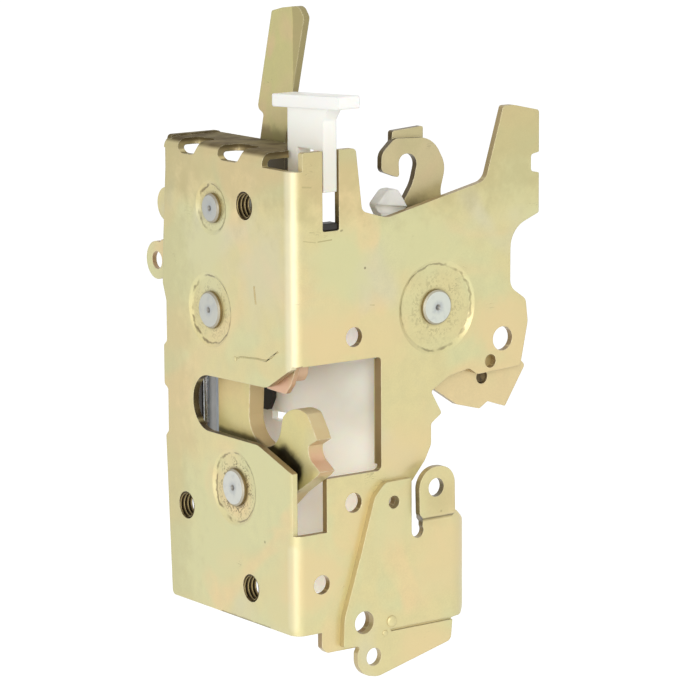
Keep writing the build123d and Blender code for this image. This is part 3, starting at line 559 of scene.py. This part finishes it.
framePatches = [
    ((0, 14, 102), 17, "grey", 0.5), ((0, 44, 101), 16, "green", 0.7), ((0, 50, 128), 14, "warm", 0.5),
    ((0, 60, 78), 12, "warm", 0.5), ((0, 15, 45), 13, "green", 0.8), ((0, 42, 20), 18, "green", 0.7),
    ((0, 58, 52), 10, "warm", 0.6), ((0, 8, 8), 12, "straw", 0.7), ((13, 0, 82), 12, "warm", 0.9),
    ((17, 0, 125), 9, "warm", 1.0), ((17, 0, 103), 14, "green", 0.8), ((47, 0, 109), 16, "green", 0.7),
    ((28, 0, 84), 12, "warm", 0.6), ((74, 0, 79), 13, "warm", 0.9), ((79, 0, 122), 14, "green", 0.7),
    ((36, 0, 49), 14, "warm", 0.7), ((8, 0, 16), 13, "warm", 0.8), ((24, 0, 30), 12, "warm", 0.6),
]
frameScratches = [
    ((8.3, 0, 111.0), (12.9, 0, 111.2), 0.05, 0.3, "olive", 0.8, 0.1),
    ((3.4, 0, 111.6), (7.4, 0, 110.9), 0.04, 0.25, "olive", 0.5, 0.1),
    ((24.3, 0, 102.2), (24.3, 0, 102.2), 0.15, 0.5, "mark", 0.7, 0.1),
    ((16.1, 0, 113.4), (16.5, 0, 113.5), 0.1, 0.4, "mark", 0.5, 0.1),
    ((26.0, 0, 91.6), (27.4, 0, 91.4), 0.05, 0.3, "olive", 0.4, 0.1),
    ((3.2, 0, 126.6), (6.0, 0, 126.3), 0.05, 0.35, "olive", 0.5, 0.1),
    ((0, 37, 0.1), (0, 13, 0.0), 0.05, 0.55, "shadeAndTarnish", 0.6, 0.4),
]
# a painted highlight down the rounded bend, above and below the mouth
bendHighlight = [((0.5, 2.2, 133), (0.5, 2.2, 76), 0.8, 2.9, "wearAndHighlight", 0.5, 0.3),
            ((0.5, 2.2, 24), (0.5, 2.2, 3), 0.8, 2.6, "wearAndHighlight", 0.25, 0.3)]
# painted shade on the sheared edges round the mouth
mouthEdgeShade = [((1, 50.7, 60), 17, "dark", 1.0), ((1, 32, 51), 18, "dark", 0.95)]
# painted shade on the edges at the foot of the side wall's slot
slotFootShade = [((15.5, 1, 116.5), 6, "dark", 0.95)]
# painted shade on the rims of the flange's slots and at its corner
flangeSlotShade = [((2, 55, 132.5), 7, "paintedShadow", 0.6), ((2, 37, 132.5), 8, "paintedShadow", 0.6), ((4, 20, 133), 9, "paintedShadow", 0.9),
              ((6, 8, 133), 7, "dark", 0.9)]

# the face and side wall darken towards the top; the shut face's darker far edge is painted shade
frameZinc = zincMaterial(
    "yellowZincFrame", folded=True, rings=stakingRings, patches=framePatches, lines=frameScratches + bendHighlight,
    edgePatches=mouthEdgeShade + slotFootShade + flangeSlotShade,
    shades=[(2, 105.0, 134.0, "olive", 0.36), (1, 40.0, 66.0, "olive", 0.26)])
# on the bracket the olive patch on the raised ear and the dark line under its fold are painted shade; the ear's edges
# are darker
bracketZinc = zincMaterial(
    "yellowZincBracket", sheet=(0, 1, 0), seed=(0.31, 0.2, 0.05),
    changes={"edge": tint(190, 172, 126), "edgePink": tint(208, 192, 144)},
    patches=[((33, -2, 30), 12, "green", 0.6), ((49, -2, 15), 14, "warm", 0.7), ((45, -2, -10), 12, "warm", 0.8),
             ((47, -4.3, 35), 8, "olive", 0.3)],
    edgePatches=[((46, -3.5, 35), 15, "dark", 0.75)],
    lines=[((41.0, -3.2, 29.0), (53.8, -3.2, 29.1), 0.3, 1.0, "dark", 0.75, 0.2)])
# the fork's dark bands along the shut face's lower mouth edge are painted shadow
forkZinc = zincMaterial(
    "yellowZincFork", seed=(0.1, 0.6, 0.2), edgeShare=0.4, rubAndHighlightShare=0.9,
    changes={"green": tint(215, 204, 139), "straw": tint(219, 203, 138), "warm": tint(222, 198, 136),
             "rounding": 0.5, "edge": tint(206, 183, 134), "edgePink": tint(214, 192, 144)},
    edgePatches=[((7, 9, 60), 10, "pale", 0.9), ((7, -2.5, 50.2), 5.0, "pink", 1.0), ((7, 3, 43), 8, "pale", 0.9)],
    lines=[((4.7, 19.0, 50.8), (4.7, 12.5, 48.9), 0.7, 2.4, "paintedShadow", 0.95, 0.5),
           ((4.7, 12.0, 48.6), (4.7, 6.6, 46.2), 2.1, 4.8, "paintedShadow", 0.98, 1.0),
           ((4.7, 7.2, 45.5), (4.7, 7.6, 42.2), 1.7, 3.4, "paintedShadow", 0.98, 0.6),
           ((4.7, 47, 51.6), (4.7, 22, 51.2), 0.3, 1.8, "paintedShadow", 0.8, 0.5)])
pawlZinc = zincMaterial(
    "yellowZincPawl", seed=(0.3, 0.3, 0.8), edgeShare=0.4, rubAndHighlightShare=0.8,
    changes={"edge": tint(214, 178, 142), "edgePink": tint(224, 190, 156), "rounding": 0.5},
    patches=[((5.4, 13, 71), 9, "pink", 1.0), ((5.4, 18, 68), 6, "pink", 1.0)])
pawlLeverZinc = zincMaterial(
    "yellowZincPawlLever", seed=(0.7, 0.5, 0.4), edgeShare=0.3, rubAndHighlightShare=0.95,
    changes={"edge": tint(176, 146, 104), "edgePink": tint(206, 172, 134), "rounding": 0.5},
    patches=[((3, 12, 69), 13, "pink", 1.0)], edgePatches=[((4, 9, 70), 9, "pink", 0.6)])
camZinc = zincMaterial("yellowZincLever", seed=(0.5, 0.1, 0.7), changes={"patch": 42.0, "edge": tint(140, 118, 76)})
releaseZinc = zincMaterial(
    "yellowZincSideLever", sheet=(0, 1, 0), seed=(0.2, 0.4, 0.9),
    changes={"patch": 40.0, "green": tint(221, 206, 153), "straw": tint(226, 205, 153), "warm": tint(234, 206, 157)})
# darker towards the foot, where it stands behind the side wall: painted shade and some dirt
hookZinc = zincMaterial(
    "yellowZincHook", sheet=(0, 1, 0), seed=(0.6, 0.4, 0.2),
    changes={"patch": 40.0, "green": tint(196, 184, 136), "straw": tint(202, 188, 142), "warm": tint(206, 186, 142),
             "edge": tint(92, 77, 44), "edgePink": tint(112, 92, 56)},
    shades=[(2, 121.5, 115.0, "shadeAndTarnish", 0.4), (2, 118.5, 115.0, "dark", 0.55)])
# the folded strip and the lower part seen through the flange's slot are painted shade, and the light line along the
# fold is a painted highlight
lockLeverZinc = zincMaterial(
    "yellowZincTallLever", seed=(0.9, 0.3, 0.1), specks=1.3,
    changes={"patch": 46.0, "green": tint(196, 188, 124), "straw": tint(202, 187, 130), "warm": tint(206, 184, 132),
             "grey": tint(198, 188, 150), "edge": tint(138, 127, 84), "edgePink": tint(156, 140, 96),
             "stripShade": tint(158, 146, 98)},
    shades=[(1, 27.0, 26.2, "stripShade", 0.85), (2, 141.0, 135.5, "shadeAndTarnish", 0.5), (2, 133.5, 129.5, "dark", 0.9)],
    lines=[((17, 27.2, 143), (17, 27.2, 170), 0.2, 0.8, "pale", 0.8, 0.2)])
stampZinc = zincMaterial(
    "yellowZincStamp", seed=(0.4, 0.7, 0.3), specks=0.3,
    changes={"green": tint(186, 176, 118), "straw": tint(196, 182, 120), "warm": tint(190, 168, 112)})

rubberLook = {"dark": tint(26, 22, 18), "light": tint(40, 34, 27), "cloud": 260, "grain": 1600, "rough": 0.5,
              "bump": 0.25, "rounding": 0.4}
plainLooks = {
    # the back plate has a band of painted glow
    "brightZinc": {"dark": tint(172, 182, 198), "light": tint(204, 212, 222), "cloud": 160, "grain": 1500,
                   "rough": 0.36, "bump": 0.12, "shader": {"Metallic": 0.85},
                   "through": (1, 50.0, 56.0, tint(176, 178, 180))},
    "dullZinc": {"dark": tint(150, 150, 144), "light": tint(178, 177, 168), "cloud": 120, "grain": 1300,
                 "rough": 0.45, "bump": 0.15, "shader": {"Metallic": 0.8}},
    "springSteel": {"dark": tint(150, 152, 154), "light": tint(206, 208, 208), "cloud": 300, "grain": 2500,
                    "rough": 0.27, "bump": 0.1, "shader": {"Metallic": 1.0}},
    "rivetSteel": {"dark": tint(64, 53, 33), "light": tint(112, 95, 60), "cloud": 700, "grain": 1800,
                   "rough": 0.5, "bump": 0.15, "shader": {"Metallic": 0.5}},
    # the slider's top glows with painted light; it is darker and warmer towards the bottom
    "whiteNylon": {"dark": tint(247, 247, 240), "light": tint(252, 252, 247), "cloud": 60, "grain": 900,
                   "rough": 0.42, "bump": 0.05, "rounding": 0.5,
                   "shader": {"Subsurface Weight": 0.15, "Subsurface Scale": 0.002},
                   "through": (2, 132.0, 146.0, tint(150, 150, 147)),
                   "toneBands": [(2, 150.0, 128.0, tint(238, 230, 208), 0.6, None)]},
    "greyNylon": {"dark": tint(216, 214, 204), "light": tint(234, 232, 225), "cloud": 150, "grain": 900,
                  "rough": 0.45, "bump": 0.08, "rounding": 0.5,
                  "shader": {"Subsurface Weight": 0.1, "Subsurface Scale": 0.002}},
    # the cover glows with painted light lower down, and the bright spots are painted glow where the side wall's three
    # holes show it
    "palePlastic": {"dark": tint(232, 228, 217), "light": tint(242, 239, 230), "cloud": 40, "grain": 1800,
                    "rough": 0.5, "bump": 0.1, "rounding": 0.5,
                    "shader": {"Subsurface Weight": 0.4, "Subsurface Scale": 0.006},
                    "through": (2, 62.0, 46.0, tint(188, 188, 184)), "glow": 0.45,
                    "bright": [((29.6, 13.6, 80.2), 6, tint(233, 231, 228)),
                               ((29.3, 14.1, 31.9), 6, tint(255, 252, 244)),
                               ((23.6, 21.5, 7.6), 6, tint(238, 236, 228))]},
    "blackRubber": rubberLook,
    # on the buffer a pale band on its side is a painted sheen, and its back part glows with painted light
    "bufferRubber": {**rubberLook, "through": (0, 12.0, 13.8, tint(168, 168, 166)),
                     "toneBands": [(0, 11.0, 13.8, tint(196, 198, 200), 0.95, (1, -1))]},
}
plain = {name: plainMaterial(name, look) for name, look in plainLooks.items()}

finishes = {
    "frame": frameZinc, "lower_bracket": bracketZinc, "latch_fork": forkZinc, "pawl": pawlZinc,
    "pawl_lever": pawlLeverZinc, "lock_cam": camZinc, "lock_lever": lockLeverZinc, "release_lever": releaseZinc,
    "hook_lever": hookZinc, "back_plate": plain["brightZinc"], "lock_slider": plain["whiteNylon"],
    "rod_clip": plain["greyNylon"], "inner_cover": plain["palePlastic"], "striker_buffer": plain["bufferRubber"],
    "guard_pad": plain["blackRubber"],
}
for name in ("fork_bush", "pawl_bush", "lock_hub", "fork_washer", "lever_washer"):
    finishes[name] = plain["dullZinc"]
for name in ("fork_spring", "pawl_spring", "lever_spring"):
    finishes[name] = plain["springSteel"]
for name, pin in pins.items():
    finishes[name] = pinMaterial(name + "Steel", pin["centre"], pin["across"], pin["end"])
for name, node in cadNodes.items():
    node.data.materials.clear()
    node.data.materials.append(finishes[name])

print("stage: finishes made,", len(bpy.data.materials), "materials")


# New pieces

def finishPiece(name, bm, material, body):
    mesh = bpy.data.meshes.new(name)
    bm.to_mesh(mesh)
    bm.free()
    mesh.materials.append(material)
    piece = bpy.data.objects.new(name, mesh)
    bpy.context.scene.collection.objects.link(piece)
    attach(piece, body)


thread = {
    "radius": 3.995, "crest": 3.38, "pitch": 1.25, "depth": 4.2, "steps": 40, "inset": 0.02,
    "crestStart": 0.42, "crestEnd": 0.58, "merge": 0.002,
    "holes": {"threadUpper": (23.8, 119.1), "threadRear": (54.8, 28.1), "threadLower": (22.3, 9.8)},
}
# the radii between which one tone gives way to the next are in mm
threadLook = {"root": tint(34, 26, 14), "flank": tint(72, 58, 34), "crest": tint(158, 142, 100),
              "rootEnds": (3.95, 3.62), "crestEnds": (3.56, 3.42), "metallic": 0.85,
              "rough": (0.26, 0.42), "bump": 0.15}


def threadSteel(name, y, z):
    # lighter crests, and roots painted dark as shade in the hole
    material, tree, position = startMaterial(name + "Steel")[:3]
    offset = vectorCalc(tree, "SUBTRACT", position, place(0, y, z))
    away = vectorCalc(tree, "LENGTH", vectorCalc(tree, "MULTIPLY", offset, (0, 1, 1)))
    rootEnds, crestEnds = ([value * mm for value in threadLook[key]] for key in ("rootEnds", "crestEnds"))
    color = blendColor(tree, remap(tree, away, *rootEnds), threadLook["root"], threadLook["flank"])
    color = blendColor(tree, remap(tree, away, *crestEnds), color, threadLook["crest"])
    cloud = pattern(tree, position, "threadCloud")
    rough = spread(tree, cloud, *threadLook["rough"])
    endMaterial(tree, {"Metallic": threadLook["metallic"]}, color, rough, cloud, threadLook["bump"])
    return material


def makeThread(name, y, z):
    # one turn of a thread's flank pair, screwed through the collar and cut flush at both ends
    bm = bmesh.new()
    outer, crest, pitch, steps = thread["radius"], thread["crest"], thread["pitch"], thread["steps"]
    turns = int(thread["depth"] / pitch) + 2
    start = -pitch
    profile = [(start, outer), (start + pitch * thread["crestStart"], crest),
               (start + pitch * thread["crestEnd"], crest), (start + pitch, outer)]
    verts = [bm.verts.new(place(x, y, z + radius)) for x, radius in profile]
    edges = [bm.edges.new(pair) for pair in zip(verts, verts[1:])]
    bmesh.ops.spin(bm, geom=verts + edges, cent=place(0, y, z), axis=(1, 0, 0), angle=2 * pi * turns,
                   steps=steps * turns, dvec=Vector((pitch * mm / steps, 0, 0)), use_merge=False)
    bmesh.ops.remove_doubles(bm, verts=bm.verts, dist=thread["merge"] * mm)
    for x, side in ((thread["inset"], -1), (thread["depth"] - thread["inset"], 1)):
        bmesh.ops.bisect_plane(bm, geom=bm.verts[:] + bm.edges[:] + bm.faces[:], plane_co=place(x, y, z),
                               plane_no=(side, 0, 0), clear_outer=True)
    bmesh.ops.recalc_face_normals(bm, faces=bm.faces)
    axis = place(0, y, z)
    inward = 0.0
    for face in bm.faces:
        middle = face.calc_center_median()
        inward += Vector((0, axis.y - middle.y, axis.z - middle.z)).dot(face.normal)
        face.smooth = False
    if inward < 0:
        bmesh.ops.reverse_faces(bm, faces=bm.faces)
    finishPiece(name, bm, threadSteel(name, y, z), "frame")


for name, (y, z) in thread["holes"].items():
    makeThread(name, y, z)

stamps = {
    "stampedCrease": {"path": [(28.6, 75.1), (26.4, 75.9), (18.4, 76.6), (14.0, 76.7), (11.2, 77.9), (7.8, 80.1)],
                      "width": 0.5, "height": 0.14},
    "punchedTick": {"path": [(19.3, 97.0), (18.9, 94.2), (18.5, 91.9)], "width": 0.55, "height": 0.16},
}
# how far a stamp starts inside the sheet in mm, and the share of its height that is rounded off
stampSink, stampRound = 0.1, 0.9


def makeStamp(name, path, width, height):
    # a narrow raised bead on the shut face: one edge drawn along the path, thickened and rounded
    bm = bmesh.new()
    points = [Vector(point) for point in path]

    def ends(index):
        before = points[max(index - 1, 0)]
        after = points[min(index + 1, len(points) - 1)]
        along = (after - before).normalized()
        across = Vector((-along.y, along.x)) * width / 2
        return [place(stampSink, *(points[index] + across * side)) for side in (1, -1)]

    edge = bm.edges.new([bm.verts.new(end) for end in ends(0)])
    for index in range(1, len(points)):
        drawn = bmesh.ops.extrude_edge_only(bm, edges=[edge])["geom"]
        edge = next(item for item in drawn if isinstance(item, bmesh.types.BMEdge))
        pair = sorted(edge.verts, key=lambda vert: (vert.co - ends(index)[0]).length)
        for vert, end in zip(pair, ends(index)):
            vert.co = end
    lifted = bmesh.ops.extrude_face_region(bm, geom=bm.faces[:])["geom"]
    top = [item for item in lifted if isinstance(item, bmesh.types.BMVert)]
    bmesh.ops.translate(bm, verts=top, vec=(-(stampSink + height) * mm, 0, 0))
    bmesh.ops.recalc_face_normals(bm, faces=bm.faces)
    rim = [edge for edge in bm.edges if all(vert in top for vert in edge.verts) and len(edge.link_faces) == 2
           and abs(edge.link_faces[0].normal.dot(edge.link_faces[1].normal)) < 0.5]
    bmesh.ops.bevel(bm, geom=rim, offset=height * stampRound * mm, offset_type="OFFSET", segments=2, profile=0.5,
                    affect="EDGES", material=-1, clamp_overlap=True)
    finishPiece(name, bm, stampZinc, "frame")


for name, values in stamps.items():
    makeStamp(name, **values)

slotStop = {"low": (9.9, 0.4, 113.6), "high": (15.5, 4.2, 115.75), "round": 0.5}


def makeSlotStop():
    # rubber stop in the foot of the side wall's slot, under the slider's leg
    bm = bmesh.new()
    low, high = place(*slotStop["low"]), place(*slotStop["high"])
    bmesh.ops.create_cube(bm, size=1)
    bmesh.ops.scale(bm, vec=high - low, verts=bm.verts)
    bmesh.ops.translate(bm, vec=(low + high) / 2, verts=bm.verts)
    bmesh.ops.bevel(bm, geom=bm.edges[:], offset=slotStop["round"] * mm, segments=3, profile=0.5, affect="EDGES",
                    material=-1)
    bmesh.ops.recalc_face_normals(bm, faces=bm.faces)
    finishPiece("slotStop", bm, plain["blackRubber"], "frame")


rivet = {"centre": (68.0, 65.8), "radius": 1.93, "from": 3.5, "to": 5.7, "round": 0.35, "segments": 40}


def makeFlapRivet():
    # the dark end that fills the flap's small hole
    bm = bmesh.new()
    radius = rivet["radius"] * mm
    bmesh.ops.create_cone(bm, cap_ends=True, segments=rivet["segments"], radius1=radius, radius2=radius,
                          depth=(rivet["to"] - rivet["from"]) * mm)
    bmesh.ops.rotate(bm, verts=bm.verts, cent=(0, 0, 0), matrix=Matrix.Rotation(pi / 2, 3, "X"))
    x, z = rivet["centre"]
    bmesh.ops.translate(bm, vec=place(x, (rivet["from"] + rivet["to"]) / 2, z), verts=bm.verts)
    ends = [edge for edge in bm.edges if len({round(vert.co.y, 6) for vert in edge.verts}) == 1]
    bmesh.ops.bevel(bm, geom=ends, offset=rivet["round"] * mm, segments=3, profile=0.5, affect="EDGES", material=-1)
    bmesh.ops.recalc_face_normals(bm, faces=bm.faces)
    finishPiece("flapRivet", bm, plain["rivetSteel"], "release_lever")


makeSlotStop()
makeFlapRivet()

domes = {
    "bracketBump": {"centre": (31.6, -2.0, 0.2), "radius": 1.7, "height": 0.75, "axis": 1, "material": bracketZinc,
                    "slot": "yellow_zinc_bracket"},
    "bracketBead": {"centre": (29.3, -2.0, -2.9), "radius": 0.9, "height": 0.4, "axis": 1, "material": bracketZinc,
                    "slot": "yellow_zinc_bracket"},
    "creaseBead": {"centre": (0, 29.1, 75.0), "radius": 0.75, "height": 0.3, "axis": 0, "material": frameZinc,
                   "slot": "yellow_zinc_frame"},
}


def makeDome(name, centre, radius, height, axis, material, slot):
    # a pressed dome: a ball flattened along the direction it stands out
    bm = bmesh.new()
    bmesh.ops.create_icosphere(bm, subdivisions=4, radius=radius * mm)
    flatten = [height / radius if index == axis else 1 for index in range(3)]
    bmesh.ops.scale(bm, vec=flatten, verts=bm.verts)
    bmesh.ops.translate(bm, vec=place(*centre), verts=bm.verts)
    for face in bm.faces:
        face.smooth = True
    finishPiece(name, bm, material, "frame")


for name, values in domes.items():
    makeDome(name, **values)

print("stage: threads, stamps, stop, rivet and domes made")


# Floor, light and camera

floorPlan = {"drop": 0.26, "size": 30.0, "tone": 0.82, "lift": 0.66}
worldLevel = 0.5
cameraView = {"azimuth": -35.8396, "elevation": 10.2945, "roll": -0.3534, "lens": 190.588, "sensor": 36,
              "distance": 1.00528, "aim": (0.018913, -0.019137, -0.037316), "clip": (0.01, 100)}
lamps = {
    "keyPanel": {"from": (-0.55, -1.15, 0.42), "size": 0.7, "watts": 6.6},
    "bendPanel": {"from": (-1.08, -0.58, -0.12), "size": 1.3, "watts": 5.0},
    "facePanel": {"from": (-1.25, 0.1, 0.35), "size": 0.9, "watts": 0.3},
    "topPanel": {"from": (0.35, -0.2, 1.3), "size": 1.0, "watts": 1.0},
}


def seenDirectly(tree):
    # 1 for the rays that show the background: from the camera, mirrored or through glass
    path = addNode(tree, "ShaderNodeLightPath").outputs
    return calc(tree, "MAXIMUM", path["Is Camera Ray"],
                calc(tree, "MAXIMUM", path["Is Glossy Ray"], path["Is Transmission Ray"]))


def makeFloor():
    bm = bmesh.new()
    bmesh.ops.create_grid(bm, x_segments=1, y_segments=1, size=floorPlan["size"] / 2)
    bmesh.ops.translate(bm, vec=(0, 0, cadBox[0][2] - floorPlan["drop"]), verts=bm.verts)
    mesh = bpy.data.meshes.new("floor")
    bm.to_mesh(mesh)
    bm.free()
    material = bpy.data.materials.new("paleFloor")
    material.use_nodes = True
    tree = material.node_tree
    tree.nodes.clear()
    matt = addNode(tree, "ShaderNodeBsdfDiffuse", {"Color": (*[floorPlan["tone"]] * 3, 1)})
    glow = addNode(tree, "ShaderNodeEmission", {"Color": (1, 1, 1, 1),
                                                "Strength": product(tree, seenDirectly(tree), floorPlan["lift"])})
    both = addNode(tree, "ShaderNodeAddShader", {0: matt.outputs[0], 1: glow.outputs[0]})
    addNode(tree, "ShaderNodeOutputMaterial", {0: both.outputs[0]})
    mesh.materials.append(material)
    floor = bpy.data.objects.new("floor", mesh)
    bpy.context.scene.collection.objects.link(floor)


def makeLamp(name, values):
    data = bpy.data.lights.new(name, "AREA")
    data.shape = "DISK"
    data.size = values["size"]
    data.energy = values["watts"]
    lamp = bpy.data.objects.new(name, data)
    spot = Vector(values["from"])
    turn = (Vector(cameraView["aim"]) - spot).to_track_quat("-Z", "Y").to_matrix().to_4x4()
    lamp.matrix_world = Matrix.Translation(spot) @ turn
    bpy.context.scene.collection.objects.link(lamp)


def makeCamera():
    azimuth, elevation, roll = (radians(cameraView[key]) for key in ("azimuth", "elevation", "roll"))
    back = Vector((sin(azimuth) * cos(elevation), -cos(azimuth) * cos(elevation), sin(elevation)))
    level = Vector((cos(azimuth), sin(azimuth), 0))
    rise = back.cross(level)
    side = level * cos(roll) + rise * sin(roll)
    up = rise * cos(roll) - level * sin(roll)
    spot = Vector(cameraView["aim"]) + back * cameraView["distance"]
    data = bpy.data.cameras.new("camera")
    data.lens = cameraView["lens"]
    data.sensor_fit = "HORIZONTAL"
    data.sensor_width = cameraView["sensor"]
    data.clip_start, data.clip_end = cameraView["clip"]
    camera = bpy.data.objects.new("camera", data)
    camera.matrix_world = Matrix.Translation(spot) @ Matrix((side, up, back)).transposed().to_4x4()
    bpy.context.scene.collection.objects.link(camera)
    bpy.context.scene.camera = camera


def makeWorld(strength):
    # white behind the object, and a plainer level where it lights
    world = bpy.data.worlds.new("studio")
    world.use_nodes = True
    tree = world.node_tree
    tree.nodes.clear()
    level = calc(tree, "ADD", strength, product(tree, seenDirectly(tree), 1 - strength))
    sky = addNode(tree, "ShaderNodeBackground", {"Color": (1, 1, 1, 1), "Strength": level})
    addNode(tree, "ShaderNodeOutputWorld", {0: sky.outputs[0]})
    bpy.context.scene.world = world


makeFloor()
for name, values in lamps.items():
    makeLamp(name, values)
makeCamera()
makeWorld(worldLevel)
bpy.context.scene.view_settings.view_transform = "Standard"

print("stage: floor, light and camera set")
